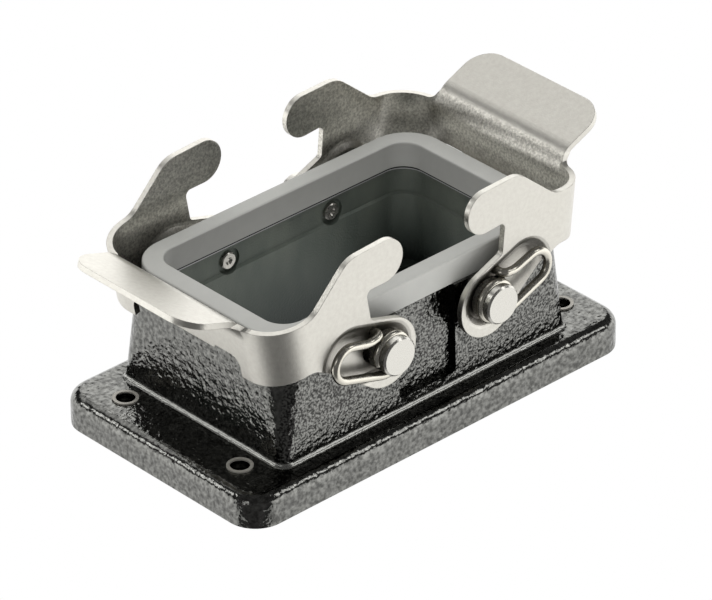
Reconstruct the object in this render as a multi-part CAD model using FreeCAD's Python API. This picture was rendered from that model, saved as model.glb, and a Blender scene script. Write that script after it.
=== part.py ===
"""Bulkhead mounting housing of a heavy duty rectangular connector, with two sprung locking levers.

Frame: millimetres, +Z up, origin at the middle of the flange's underside. X runs along the long side,
Y across it. Each lever is drawn in its own closed position, with the pivot at the origin, u pointing
outward from the middle of the housing and w up, and is then turned to the position it is kept in.
"""
import FreeCAD
import Part
import math
import os

V = FreeCAD.Vector

# How deep joined shapes overlap, and how far a cutting shape runs past the face it cuts
OVERLAP = 0.01
PAST = 1.0

# Housing casting
BODY_LENGTH = 72.9
BODY_WIDTH = 44.2
BODY_HEIGHT = 21.3
BODY_CORNER = 6.7
BODY_BASE_CORNER = 2.2
END_DRAFT = 0.3
SIDE_DRAFT = 0.6
BASE_FILLET = 0.9
FLANGE_END = 12.25
FLANGE_SIDE = 5.5
FLANGE_LENGTH = BODY_LENGTH + 2 * FLANGE_END
FLANGE_WIDTH = BODY_WIDTH + 2 * FLANGE_SIDE
FLANGE_THICKNESS = 6.7
FLANGE_CORNER = 6.3
FLANGE_EDGE_ROUND = 2.4
RIM_HEIGHT = FLANGE_THICKNESS + BODY_HEIGHT
PANEL_WIDTH = 14.6
PANEL_RISE = 2.6
PANEL_BOTTOM = FLANGE_THICKNESS + PANEL_RISE
PANEL_DEPTH = 0.9
PANEL_CORNER = 1.0
PAD_ROOT = 1.0
SCREW_FROM_END = 7.2
SCREW_FROM_SIDE = 11.6
SCREW_SPACING_X = FLANGE_LENGTH - 2 * SCREW_FROM_END
SCREW_SPACING_Y = FLANGE_WIDTH - 2 * SCREW_FROM_SIDE
SCREW_HOLE = 3.8
SCREW_RIM = 5.1
SCREW_RIM_HEIGHT = 0.35

# Cavity: a straight pocket cored from above and a drafted one cored from below
WALL_END = 3.95
WALL_SIDE = 4.0
POCKET_LENGTH = BODY_LENGTH - 2 * WALL_END
POCKET_WIDTH = BODY_WIDTH - 2 * WALL_SIDE
POCKET_CORNER = 4.9
POCKET_DEPTH = 5.7
POCKET_FLOOR = RIM_HEIGHT - POCKET_DEPTH
CAVITY_STEP = 0.45
CAVITY_DRAFT = 1.1
INSERT_FROM_END = 4.0
INSERT_FROM_SIDE = 4.6
INSERT_BOSS_X = POCKET_LENGTH - 2 * INSERT_FROM_END
INSERT_BOSS_Y = POCKET_WIDTH - 2 * INSERT_FROM_SIDE
INSERT_BOSS_BASE = 0.6
INSERT_BOSS_HEIGHT = 6.5
INSERT_BOSS_RADIUS = 3.9
INSERT_THREAD_CORE = 3.3

# Rubber
SEAL_OVERHANG_END = 0.05
SEAL_INSET_SIDE = 0.75
SEAL_LENGTH = BODY_LENGTH + 2 * SEAL_OVERHANG_END
SEAL_WIDTH = BODY_WIDTH - 2 * SEAL_INSET_SIDE
SEAL_CORNER = 8.2
SEAL_WALL_SIDE = 3.65
SEAL_WALL_END = 4.4
SEAL_HEIGHT = 5.3
SEAL_TOP = RIM_HEIGHT + SEAL_HEIGHT
SEAL_EDGE_ROUND = 0.45
TONGUE_WIDTH = 1.2
TONGUE_DEPTH = 1.3
SEAT_GAP = 0.15
GASKET_WIDTH = 3.0
GASKET_DEPTH = 1.6
GASKET_INSET = 2.2

# Lever: stainless sheet bent to a U, in its closed position
SHEET = 1.2
PIVOT_INSET = 23.2
ARM_GAP = 3.4
PLATE_GAP = 2.5
ARM_FACE = BODY_WIDTH / 2 + ARM_GAP
PLATE_FACE = PIVOT_INSET + PLATE_GAP
BEND_RADIUS = 8.6
LEVER_OPEN_RIGHT = 5.5
LEVER_OPEN_LEFT = 10.4
HOOK_CENTRE = (-3.1, 18.85)
HOOK_RADIUS = 4.45
NECK_TOP_CENTRE = (1.2, 13.85)
NECK_TOP_RADIUS = 1.2
NECK_FOOT_CENTRE = (1.32, 9.11)
NECK_FOOT_RADIUS = 1.1
LOBE_CENTRE = (-0.15, -0.93)
LOBE_RADIUS = 7.1
ARM_FOOT_CENTRE = (18.53, 2.13)
ARM_FOOT_RADIUS = 4.0
SHOULDER_CENTRE = (16.84, 22.35)
SHOULDER_RADIUS = 5.0
BROW_CENTRE = (3.63, 18.16)
BROW_RADIUS = 6.0
PLATE_FOOT = 5.1
PLATE_TOP = 17.4
TAB_ANGLE = 28.8
TAB_BEND_START = 14.95
TAB_BEND_RADIUS = 5.4
TAB_WIDTH = 2 * (ARM_FACE - BEND_RADIUS)
TAB_LENGTH = 10.0
TAB_CORNER = 5.6
TAB_ROOT_RADIUS = 1.8
TAB_ROOT_STEPS = 3
TAB_FOOT_DEPTH = 3.0
ARCH_WIDTH = 29.6
ARCH_HEIGHT = 9.6
ARCH_CORNER = 2.4
ARCH_LIP_WIDTH = 16.6
ARCH_LIP = 0.7
ARCH_LIP_CORNER = 0.63
DISH_DEPTH = 1.0
DISH_SLOPE = 2.3
DISH_SHOULDER = 0.6
DISH_SHOULDER_DROP = 0.15
DISH_PAN_GROWTH = 0.3
DISH_PIN_END = (-0.3, -0.2, 6.0)
DISH_LOOP_END = (8.7, 3.1, 7.1)
SLOT_ANGLE = 26.6
SLOT_TRAVEL = 2.6
SLOT_CLEARANCE = 0.1

# Hairpin spring
WIRE_RADIUS = 0.85
WIRE_CLEARANCE = 0.08
WIRE_STANDOFF = 1.3
WIRE_PLANE = ARM_FACE + WIRE_STANDOFF
LOOP_CENTRE = (10.1, 3.9)
LOOP_RADIUS = 3.4
LOWER_LEG_ANGLE = 27.2
UPPER_LEG_ANGLE = 24.0
LEAD_IN_RADIUS = 6.0
WRAP_RADIUS = 3.7
WRAP_END_ANGLE = -8.0
ANCHOR = (1.7, 5.15)
KNEE_U = 4.6
KNEE_RADIUS = 4.0
ANCHOR_BEND = 1.2
ANCHOR_HOLE_CLEARANCE = 0.12

# Pivots
PIVOT_X = BODY_LENGTH / 2 - PIVOT_INSET
PIVOT_DROP = 3.8
PIVOT_Z = RIM_HEIGHT - PIVOT_DROP
PIVOT_PAD_RADIUS = 4.4
PIVOT_PAD_RISE = 0.35
PIVOT_PAD_FACE = BODY_WIDTH / 2 + PIVOT_PAD_RISE
PIVOT_RECESS_RADIUS = 2.7
PIVOT_RECESS_DEPTH = 0.5
PIVOT_RECESS_FLOOR = POCKET_WIDTH / 2 + PIVOT_RECESS_DEPTH
BORE_CLEARANCE = 0.02
PIN_STANDOFF = 3.7
PIN_FACE = ARM_FACE + PIN_STANDOFF
PIN_HEAD_RADIUS = 3.95
PIN_HEAD_THICKNESS = 1.45
PIN_HEAD_ROUND = 0.35
PIN_GROOVE_RADIUS = 2.8
PIN_COLLAR_RADIUS = 3.95
COLLAR_GAP = 0.3
PIN_SHANK_RADIUS = 2.5
PIN_SHOULDER_RADIUS = 3.3
PIN_SHOULDER_THICKNESS = 0.45
PIN_SPIGOT_RADIUS = 1.6
PIN_END_RADIUS = 1.75
PIN_END_ROUND = 0.2
PIN_END_DIMPLE = 0.8
PIN_END_REACH = 0.2
PIN_END_Y = POCKET_WIDTH / 2 - PIN_END_REACH


def rounded_rect(length, width, corner, z):
    """Closed wire of a rounded rectangle about the Z axis."""
    a = length / 2
    b = width / 2
    k = corner * (1 - math.sqrt(0.5))
    r = corner
    edges = [
        Part.LineSegment(V(-a + r, -b, z), V(a - r, -b, z)),
        Part.Arc(V(a - r, -b, z), V(a - k, -b + k, z), V(a, -b + r, z)),
        Part.LineSegment(V(a, -b + r, z), V(a, b - r, z)),
        Part.Arc(V(a, b - r, z), V(a - k, b - k, z), V(a - r, b, z)),
        Part.LineSegment(V(a - r, b, z), V(-a + r, b, z)),
        Part.Arc(V(-a + r, b, z), V(-a + k, b - k, z), V(-a, b - r, z)),
        Part.LineSegment(V(-a, b - r, z), V(-a, -b + r, z)),
        Part.Arc(V(-a, -b + r, z), V(-a + k, -b + k, z), V(-a + r, -b, z)),
    ]
    return Part.Wire([e.toShape() for e in edges])


def prism(length, width, corner, z0, z1):
    """Straight rounded block from z0 to z1."""
    return Part.Face(rounded_rect(length, width, corner, z0)).extrude(V(0, 0, z1 - z0))


def tapered(base, top):
    """Solid between two rounded rectangles, each given as (length, width, corner, z)."""
    return Part.makeLoft([rounded_rect(*base), rounded_rect(*top)], True, True)


def edges_at_height(shape, z):
    """Edges that lie flat at height z."""
    return [e for e in shape.Edges if abs(e.BoundBox.ZMin - z) < 1e-4 and abs(e.BoundBox.ZMax - z) < 1e-4]


def cylinder_y(radius, y0, y1, x, z):
    """Cylinder along Y between y0 and y1."""
    return Part.makeCylinder(radius, abs(y1 - y0), V(x, min(y0, y1), z), V(0, 1, 0))


def mirror_y(shape):
    """The same shape on the other long side."""
    return shape.mirror(V(0, 0, 0), V(0, 1, 0))


def mirror_x(shape):
    """The same shape at the other end."""
    return shape.mirror(V(0, 0, 0), V(1, 0, 0))


def make_housing():
    """Flange and tapered body in one casting, with the cavity, rim groove, pads, holes and bosses."""
    flange = prism(FLANGE_LENGTH, FLANGE_WIDTH, FLANGE_CORNER, 0, FLANGE_THICKNESS)
    flange = flange.makeFillet(FLANGE_EDGE_ROUND, edges_at_height(flange, FLANGE_THICKNESS))
    base_length = BODY_LENGTH + 2 * END_DRAFT
    base_width = BODY_WIDTH + 2 * SIDE_DRAFT
    body = tapered(
        (base_length, base_width, BODY_BASE_CORNER, FLANGE_THICKNESS - OVERLAP),
        (BODY_LENGTH, BODY_WIDTH, BODY_CORNER, RIM_HEIGHT),
    )
    shell = flange.fuse(body).removeSplitter()
    shell = fillet_body_base(shell)
    shell = cut_panels(shell)
    shell = add_pivot_pads(shell)
    shell = cut_cavity(shell)
    shell = add_insert_bosses(shell)
    shell = cut_rim_groove(shell)
    shell = cut_gasket_groove(shell)
    shell = finish_screw_holes(shell)
    shell = bore_pivots(shell)
    return shell.removeSplitter()


def fillet_body_base(shell):
    """Small radius where the body stands on the flange."""
    base = []
    for edge in edges_at_height(shell, FLANGE_THICKNESS):
        box = edge.BoundBox
        reach_x = max(abs(box.XMin), abs(box.XMax)) - BODY_LENGTH / 2
        reach_y = max(abs(box.YMin), abs(box.YMax)) - BODY_WIDTH / 2
        if reach_x < END_DRAFT + BASE_FILLET / 2 and reach_y < SIDE_DRAFT + BASE_FILLET / 2:
            base.append(edge)
    return shell.makeFillet(BASE_FILLET, base)


def cut_panels(shell):
    """Shallow plain panel in the middle of each long side, open at the top."""
    floor_y = BODY_WIDTH / 2 - PANEL_DEPTH
    far_y = BODY_WIDTH / 2 + SIDE_DRAFT + PAST
    outline = Part.makePlane(PANEL_WIDTH, RIM_HEIGHT + PAST - PANEL_BOTTOM,
                             V(-PANEL_WIDTH / 2, -floor_y, PANEL_BOTTOM), V(0, -1, 0), V(1, 0, 0))
    panel = outline.extrude(V(0, floor_y - far_y, 0))
    across = [e for e in panel.Edges if e.BoundBox.YLength > OVERLAP]
    panel = panel.makeFillet(PANEL_CORNER, [e for e in across if e.BoundBox.ZMin < PANEL_BOTTOM + OVERLAP])
    return shell.cut(panel).cut(mirror_y(panel))


def add_pivot_pads(shell):
    """Round flat pads that the pin shoulders sit on."""
    below_rim = prism(BODY_LENGTH, 2 * BODY_WIDTH, BODY_CORNER, 0, RIM_HEIGHT)
    for sx in (-1, 1):
        for sy in (-1, 1):
            root = sy * (BODY_WIDTH / 2 - PAD_ROOT)
            pad = cylinder_y(PIVOT_PAD_RADIUS, root, sy * PIVOT_PAD_FACE, sx * PIVOT_X, PIVOT_Z)
            shell = shell.fuse(pad.common(below_rim))
    return shell


def cut_cavity(shell):
    """The opening for the insert, wider above a sloped step, drafted open towards the underside."""
    pocket = prism(POCKET_LENGTH, POCKET_WIDTH, POCKET_CORNER, POCKET_FLOOR, RIM_HEIGHT + PAST)
    throat_l = POCKET_LENGTH - 2 * CAVITY_STEP
    throat_w = POCKET_WIDTH - 2 * CAVITY_STEP
    throat_z = POCKET_FLOOR - CAVITY_STEP
    shelf = tapered(
        (throat_l, throat_w, POCKET_CORNER - CAVITY_STEP, throat_z),
        (POCKET_LENGTH, POCKET_WIDTH, POCKET_CORNER, POCKET_FLOOR),
    )
    lower = tapered(
        (throat_l + 2 * CAVITY_DRAFT, throat_w + 2 * CAVITY_DRAFT, POCKET_CORNER, -OVERLAP),
        (throat_l, throat_w, POCKET_CORNER - CAVITY_STEP, throat_z),
    )
    return shell.cut(pocket.fuse(shelf).fuse(lower))


def add_insert_bosses(shell):
    """Four corner bosses with a threaded core that the contact insert is screwed to."""
    throat = prism(POCKET_LENGTH + PAST, POCKET_WIDTH + PAST, POCKET_CORNER,
                   INSERT_BOSS_BASE, INSERT_BOSS_HEIGHT)
    tall = INSERT_BOSS_HEIGHT - INSERT_BOSS_BASE
    r = INSERT_BOSS_RADIUS
    web = 2 * r
    for sx in (-1, 1):
        for sy in (-1, 1):
            x = sx * INSERT_BOSS_X / 2
            y = sy * INSERT_BOSS_Y / 2
            post = Part.makeCylinder(r, tall, V(x, y, INSERT_BOSS_BASE))
            web_x = Part.makeBox(web, 2 * r, tall, V(min(x, x + sx * web), y - r, INSERT_BOSS_BASE))
            web_y = Part.makeBox(2 * r, web, tall, V(x - r, min(y, y + sy * web), INSERT_BOSS_BASE))
            boss = post.fuse(web_x).fuse(web_y).common(throat)
            core = Part.makeCylinder(INSERT_THREAD_CORE / 2, INSERT_BOSS_HEIGHT + PAST, V(x, y, 0))
            shell = shell.fuse(boss).cut(core)
    return shell


def cut_rim_groove(shell):
    """Groove in the rim that holds the seal's tongue."""
    mid_l, mid_w, corner = tongue_line()
    half = TONGUE_WIDTH / 2 + SEAT_GAP
    depth = TONGUE_DEPTH + SEAT_GAP
    return shell.cut(ring(mid_l, mid_w, corner, half, RIM_HEIGHT - depth, RIM_HEIGHT + PAST))


def tongue_line():
    """Middle line of the seal's walls: length, width and corner radius."""
    return SEAL_LENGTH - SEAL_WALL_END, SEAL_WIDTH - SEAL_WALL_SIDE, SEAL_CORNER - SEAL_WALL_SIDE / 2


def ring(length, width, corner, half, z0, z1):
    """Rectangular ring of thickness 2 * half about a rounded middle line."""
    outer = prism(length + 2 * half, width + 2 * half, corner + half, z0, z1)
    inner = prism(length - 2 * half, width - 2 * half, corner - half, z0 - PAST, z1 + PAST)
    return outer.cut(inner)


def gasket_line():
    """Middle line of the underside gasket, outside the cavity and inside the screw holes."""
    half = GASKET_WIDTH / 2 + GASKET_INSET
    length = POCKET_LENGTH - 2 * CAVITY_STEP + 2 * CAVITY_DRAFT + 2 * half
    width = POCKET_WIDTH - 2 * CAVITY_STEP + 2 * CAVITY_DRAFT + 2 * half
    return length, width, POCKET_CORNER + half


def cut_gasket_groove(shell):
    """Groove in the underside that the gasket lies in."""
    half = GASKET_WIDTH / 2 + SEAT_GAP
    return shell.cut(ring(*gasket_line(), half, -PAST, GASKET_DEPTH))


def screw_places():
    """Middles of the four screw holes."""
    return [(sx * SCREW_SPACING_X / 2, sy * SCREW_SPACING_Y / 2) for sx in (-1, 1) for sy in (-1, 1)]


def finish_screw_holes(shell):
    """Clearance holes with a low raised rim on the flange."""
    for x, y in screw_places():
        rim = Part.makeCylinder(SCREW_RIM / 2, PAST + SCREW_RIM_HEIGHT, V(x, y, FLANGE_THICKNESS - PAST))
        hole = Part.makeCylinder(SCREW_HOLE / 2, FLANGE_THICKNESS + 2 * PAST, V(x, y, -PAST))
        shell = shell.fuse(rim).cut(hole)
    return shell


def bore_pivots(shell):
    """Bores for the pins, recessed on the inside for the riveted ends."""
    for sx in (-1, 1):
        for sy in (-1, 1):
            inside = sy * (POCKET_WIDTH / 2 - PAST)
            outside = sy * (PIVOT_PAD_FACE + PAST)
            bore = cylinder_y(PIN_SPIGOT_RADIUS + BORE_CLEARANCE, inside, outside, sx * PIVOT_X, PIVOT_Z)
            recess = cylinder_y(PIVOT_RECESS_RADIUS, inside, sy * PIVOT_RECESS_FLOOR, sx * PIVOT_X, PIVOT_Z)
            shell = shell.cut(bore).cut(recess)
    return shell


def make_top_seal():
    """Rectangular rubber collar on the rim, with a tongue in the rim groove."""
    outer = prism(SEAL_LENGTH, SEAL_WIDTH, SEAL_CORNER, RIM_HEIGHT, SEAL_TOP)
    inner = prism(SEAL_LENGTH - 2 * SEAL_WALL_END, SEAL_WIDTH - 2 * SEAL_WALL_SIDE,
                  SEAL_CORNER - SEAL_WALL_SIDE, RIM_HEIGHT - PAST, SEAL_TOP + PAST)
    collar = outer.cut(inner)
    collar = collar.makeFillet(SEAL_EDGE_ROUND, edges_at_height(collar, SEAL_TOP))
    mid_l, mid_w, corner = tongue_line()
    tongue = ring(mid_l, mid_w, corner, TONGUE_WIDTH / 2, RIM_HEIGHT - TONGUE_DEPTH, RIM_HEIGHT + PAST)
    return collar.fuse(tongue).removeSplitter()


def make_flange_gasket():
    """Flat rubber frame lying in the groove of the underside."""
    return ring(*gasket_line(), GASKET_WIDTH / 2, 0, GASKET_DEPTH)


def make_pin():
    """Turned pivot pin of the right front corner, with its axis through the pivot, before placing."""
    head_back = PIN_FACE - PIN_HEAD_THICKNESS
    shoulder_face = PIVOT_PAD_FACE + PIN_SHOULDER_THICKNESS
    head_rim = PIN_HEAD_RADIUS - PIN_HEAD_ROUND
    end_rim = PIN_END_RADIUS - PIN_END_ROUND
    outline = [
        (0, PIN_FACE),
        (head_rim, PIN_FACE),
        (PIN_HEAD_RADIUS, PIN_FACE - PIN_HEAD_ROUND),
        (PIN_HEAD_RADIUS, head_back),
        (PIN_GROOVE_RADIUS, head_back),
        (PIN_GROOVE_RADIUS, collar_face()),
        (PIN_COLLAR_RADIUS, collar_face()),
        (PIN_COLLAR_RADIUS, collar_back()),
        (PIN_SHANK_RADIUS, collar_back()),
        (PIN_SHANK_RADIUS, shoulder_face),
        (PIN_SHOULDER_RADIUS, shoulder_face),
        (PIN_SHOULDER_RADIUS, PIVOT_PAD_FACE),
        (PIN_SPIGOT_RADIUS, PIVOT_PAD_FACE),
        (PIN_SPIGOT_RADIUS, PIVOT_RECESS_FLOOR),
        (PIN_END_RADIUS, PIVOT_RECESS_FLOOR),
        (PIN_END_RADIUS, PIN_END_Y + PIN_END_ROUND),
        (end_rim, PIN_END_Y),
        (PIN_END_DIMPLE, PIN_END_Y),
        (PIN_END_DIMPLE / 2, PIN_END_Y + PIN_END_DIMPLE / 2),
        (0, PIN_END_Y + PIN_END_DIMPLE / 2),
        (0, PIN_FACE),
    ]
    face = Part.Face(Part.makePolygon([V(radius, -y, 0) for radius, y in outline]))
    return face.revolve(V(0, 0, 0), V(0, 1, 0), 360)


def collar_face():
    """Outer face of the pin's collar, just inside the spring wire."""
    return WIRE_PLANE - WIRE_RADIUS - WIRE_CLEARANCE


def collar_back():
    """Inner face of the pin's collar, just outside the floor of the arm's dish."""
    return ARM_FACE - DISH_DEPTH + COLLAR_GAP


def belt(stations):
    """Closed outline in the side view that runs round circles like a belt.

    A station is (centre, radius). The belt runs counter-clockwise round a positive radius, clockwise round
    a negative one, and straight between neighbours along their common tangent. A zero radius is a corner.
    """
    count = len(stations)
    headings = []
    for i in range(count):
        (u0, w0), r0 = stations[i]
        (u1, w1), r1 = stations[(i + 1) % count]
        lean = math.asin((r1 - r0) / math.hypot(u1 - u0, w1 - w0))
        headings.append(math.atan2(w1 - w0, u1 - u0) - lean)

    def on_circle(i, heading):
        (u, w), r = stations[i]
        return V(u + r * math.sin(heading), 0, w - r * math.cos(heading))
    edges = []
    for i in range(count):
        arrive = headings[i - 1]
        leave = headings[i]
        turn = (leave - arrive) % (2 * math.pi)
        if stations[i][1] < 0:
            turn -= 2 * math.pi
        if stations[i][1] != 0:
            mid = on_circle(i, arrive + turn / 2)
            edges.append(Part.Arc(on_circle(i, arrive), mid, on_circle(i, leave)).toShape())
        edges.append(Part.makeLine(on_circle(i, leave), on_circle((i + 1) % count, leave)))
    return Part.Wire(edges)


def arm_outline():
    """Side view of an arm: pivot lobe, lower edge, plate end, shoulder, brow, hook and notch."""
    far = PLATE_FACE + PAST
    return belt([
        (LOBE_CENTRE, LOBE_RADIUS),
        (ARM_FOOT_CENTRE, -ARM_FOOT_RADIUS),
        ((far, PLATE_FOOT), 0),
        ((far, PLATE_TOP), 0),
        (SHOULDER_CENTRE, -SHOULDER_RADIUS),
        (BROW_CENTRE, BROW_RADIUS),
        (HOOK_CENTRE, HOOK_RADIUS),
        (NECK_TOP_CENTRE, -NECK_TOP_RADIUS),
        (NECK_FOOT_CENTRE, -NECK_FOOT_RADIUS),
    ])


def bent_sheet(height0, height1):
    """U of sheet seen from above: two arms and the end plate, between two heights."""
    inner_radius = BEND_RADIUS - SHEET
    back = HOOK_CENTRE[0] - 2 * HOOK_RADIUS
    k = math.sqrt(0.5)

    def u_wire(face, plate, radius):
        cu = plate - radius
        cv = face - radius
        return [
            Part.makeLine(V(back, -face, height0), V(cu, -face, height0)),
            Part.Arc(V(cu, -face, height0), V(cu + radius * k, -cv - radius * k, height0),
                     V(plate, -cv, height0)).toShape(),
            Part.makeLine(V(plate, -cv, height0), V(plate, cv, height0)),
            Part.Arc(V(plate, cv, height0), V(cu + radius * k, cv + radius * k, height0),
                     V(cu, face, height0)).toShape(),
            Part.makeLine(V(cu, face, height0), V(back, face, height0)),
        ]
    outer = u_wire(ARM_FACE, PLATE_FACE, BEND_RADIUS)
    inner = u_wire(ARM_FACE - SHEET, PLATE_FACE - SHEET, inner_radius)
    ends = [
        Part.makeLine(V(back, -ARM_FACE, height0), V(back, -ARM_FACE + SHEET, height0)),
        Part.makeLine(V(back, ARM_FACE, height0), V(back, ARM_FACE - SHEET, height0)),
    ]
    wire = Part.Wire(Part.__sortEdges__(outer + inner + ends))
    return Part.Face(wire).extrude(V(0, 0, height1 - height0))


def tab_section():
    """Section of the grip tab in the side view, and the two edges of its tip."""
    turn = 90 - TAB_ANGLE
    foot = TAB_BEND_START - TAB_FOOT_DEPTH
    inner = TAB_BEND_RADIUS
    outer = TAB_BEND_RADIUS + SHEET
    cu = PLATE_FACE + inner
    cw = TAB_BEND_START

    def on_bend(radius, angle):
        a = math.radians(angle)
        return V(cu - radius * math.cos(a), 0, cw + radius * math.sin(a))
    lean = math.radians(TAB_ANGLE)
    along = V(math.cos(lean), 0, math.sin(lean)) * TAB_LENGTH
    lower_end = on_bend(inner, turn) + along
    upper_end = on_bend(outer, turn) + along
    edges = [
        Part.makeLine(V(PLATE_FACE, 0, foot), on_bend(inner, 0)),
        Part.Arc(on_bend(inner, 0), on_bend(inner, turn / 2), on_bend(inner, turn)).toShape(),
        Part.makeLine(on_bend(inner, turn), lower_end),
        Part.makeLine(lower_end, upper_end),
        Part.makeLine(upper_end, on_bend(outer, turn)),
        Part.Arc(on_bend(outer, turn), on_bend(outer, turn / 2), on_bend(outer, 0)).toShape(),
        Part.makeLine(on_bend(outer, 0), V(PLATE_FACE - SHEET, 0, foot)),
        Part.makeLine(V(PLATE_FACE - SHEET, 0, foot), V(PLATE_FACE, 0, foot)),
    ]
    return Part.Face(Part.Wire(edges)), lower_end, upper_end


def tab_solid():
    """Grip tab: the plate's middle carried up through a bend and outward, with rounded corners."""
    face, lower_end, upper_end = tab_section()
    face.translate(V(0, -TAB_WIDTH / 2, 0))
    tab = face.extrude(V(0, TAB_WIDTH, 0))
    tip = [e for e in tab.Edges if is_tip_corner(e, lower_end, upper_end)]
    return tab.makeFillet(TAB_CORNER, tip)


def is_tip_corner(edge, lower_end, upper_end):
    """Whether an edge crosses the sheet's thickness at the tab's tip."""
    ends = [v.Point for v in edge.Vertexes]
    for tip_end in (lower_end, upper_end):
        if min(math.hypot(p.x - tip_end.x, p.z - tip_end.z) for p in ends) > 1e-4:
            return False
    return abs(ends[0].y - ends[1].y) < 1e-4


def round_corner(shape, run):
    """A shape from the side view, put at the end of the plate's straight part and turned round the corner."""
    side = TAB_WIDTH / 2
    angle = math.degrees(math.asin(run / BEND_RADIUS))
    turned = shape.copy()
    turned.translate(V(0, side, 0))
    turned.rotate(V(PLATE_FACE - BEND_RADIUS, side, 0), V(0, 0, 1), angle)
    return turned


def above_tab_bend():
    """Strip of the sheet above the start of the tab's bend, where it leans outward instead."""
    side = TAB_WIDTH / 2
    depth = SHEET + 2 * OVERLAP
    tall = 2 * (PLATE_TOP - TAB_BEND_START)
    strip = Part.makePlane(tall, depth, V(PLATE_FACE - SHEET - OVERLAP, 0, TAB_BEND_START), V(0, 1, 0))
    sweep = math.degrees(math.asin(TAB_ROOT_RADIUS / BEND_RADIUS))
    corner = round_corner(strip, 0).revolve(V(PLATE_FACE - BEND_RADIUS, side, 0), V(0, 0, 1), sweep)
    strip.translate(V(0, -side, 0))
    return strip.extrude(V(0, 2 * side, 0)).fuse([corner, mirror_y(corner)])


def leaning_section(lean, top):
    """Section of the sheet from the start of the tab's bend up to a height, with a share of its lean."""
    middle = (TAB_BEND_START + top) / 2

    def at(face, radius, height):
        if lean == 0:
            return V(face, 0, height)
        return V(face + radius - math.sqrt(radius ** 2 - (height - TAB_BEND_START) ** 2), 0, height)

    def side(face, radius):
        points = [at(face, radius, height) for height in (TAB_BEND_START, middle, top)]
        if lean == 0:
            return Part.makeLine(points[0], points[2])
        return Part.Arc(*points).toShape()
    outer_radius = TAB_BEND_RADIUS / lean if lean else 0
    inner_radius = outer_radius + SHEET
    inner_face = PLATE_FACE - SHEET
    return Part.Wire(Part.__sortEdges__([
        side(PLATE_FACE, outer_radius),
        Part.makeLine(at(PLATE_FACE, outer_radius, top), at(inner_face, inner_radius, top)),
        side(inner_face, inner_radius),
        Part.makeLine(V(inner_face, 0, TAB_BEND_START), V(PLATE_FACE, 0, TAB_BEND_START)),
    ]))


def tab_root():
    """Root of the tab's side, where the bend fades out and the edge runs down to the plate's top."""
    radius = TAB_ROOT_RADIUS
    sections = []
    for step in range(TAB_ROOT_STEPS + 1):
        run = radius * step / TAB_ROOT_STEPS
        rise = radius - math.sqrt(radius ** 2 - (radius - run) ** 2)
        sections.append(round_corner(leaning_section(1 - step / TAB_ROOT_STEPS, PLATE_TOP + rise), run))
    return Part.makeLoft(sections, True, True)


def arch_cut():
    """Opening under the middle of the end plate, so that it swings clear of the body."""
    low = LOBE_CENTRE[1] - LOBE_RADIUS
    inside = PLATE_FACE - SHEET - PAST
    through = SHEET + 2 * PAST
    block = Part.makeBox(through, ARCH_WIDTH, ARCH_HEIGHT - low, V(inside, -ARCH_WIDTH / 2, low))
    upper = [e for e in edges_at_height(block, ARCH_HEIGHT) if e.BoundBox.XLength > SHEET]
    block = block.makeFillet(ARCH_CORNER, upper)
    bottom = ARCH_HEIGHT - ARCH_LIP
    lip = Part.makeBox(through, ARCH_LIP_WIDTH, 2 * ARCH_LIP, V(inside, -ARCH_LIP_WIDTH / 2, bottom))
    lower = [e for e in edges_at_height(lip, bottom) if e.BoundBox.XLength > SHEET]
    return block.cut(lip.makeFillet(ARCH_LIP_CORNER, lower))


def dish_outline(grow, y):
    """Outline of the pressed dish: hull of a circle round the pin and a larger one round the spring loop."""
    x0, z0, r0 = DISH_PIN_END
    x1, z1, r1 = DISH_LOOP_END
    r0 += grow
    r1 += grow
    span = math.hypot(x1 - x0, z1 - z0)
    heading = math.atan2(z1 - z0, x1 - x0)
    spread = math.acos((r0 - r1) / span)

    def at(cx, cz, radius, angle):
        return V(cx + radius * math.cos(angle), y, cz + radius * math.sin(angle))
    top0 = at(x0, z0, r0, heading + spread)
    top1 = at(x1, z1, r1, heading + spread)
    low0 = at(x0, z0, r0, heading - spread)
    low1 = at(x1, z1, r1, heading - spread)
    return Part.Wire([
        Part.makeLine(top0, top1),
        Part.Arc(top1, at(x1, z1, r1, heading), low1).toShape(),
        Part.makeLine(low1, low0),
        Part.Arc(low0, at(x0, z0, r0, heading + math.pi), top0).toShape(),
    ])


def press_dish(lever, outline_block):
    """Sink the spring's dish into the front arm: remove the flat sheet and add the pressed pan."""
    hollow = dish_block(0, ARM_FACE)
    pan = dish_block(DISH_PAN_GROWTH, ARM_FACE - SHEET)
    return lever.fuse(pan.common(outline_block)).cut(hollow)


def dish_block(grow, face):
    """Solid of the dish below a face of the arm, with a soft shoulder above and below its slope."""
    sections = [
        (0, -OVERLAP),
        (DISH_SHOULDER, DISH_SHOULDER_DROP),
        (DISH_SLOPE - DISH_SHOULDER, DISH_DEPTH - DISH_SHOULDER_DROP),
        (DISH_SLOPE, DISH_DEPTH),
    ]
    return Part.makeLoft([dish_outline(grow - inward, drop - face) for inward, drop in sections], True, True)


def slot_block():
    """Elongated pivot hole along the direction in which the lever gives."""
    a = math.radians(SLOT_ANGLE)
    d = V(math.cos(a), 0, math.sin(a))
    n = V(-math.sin(a), 0, math.cos(a))
    r = PIN_SHANK_RADIUS + SLOT_CLEARANCE
    back = V(0, 0, 0)
    front = d * SLOT_TRAVEL
    wire = Part.Wire([
        Part.makeLine(back + n * r, front + n * r),
        Part.Arc(front + n * r, front + d * r, front - n * r).toShape(),
        Part.makeLine(front - n * r, back - n * r),
        Part.Arc(back - n * r, back - d * r, back + n * r).toShape(),
    ])
    face = Part.Face(wire)
    face.translate(V(0, -ARM_FACE - PAST, 0))
    return face.extrude(V(0, SHEET + DISH_DEPTH + 2 * PAST, 0))


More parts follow.
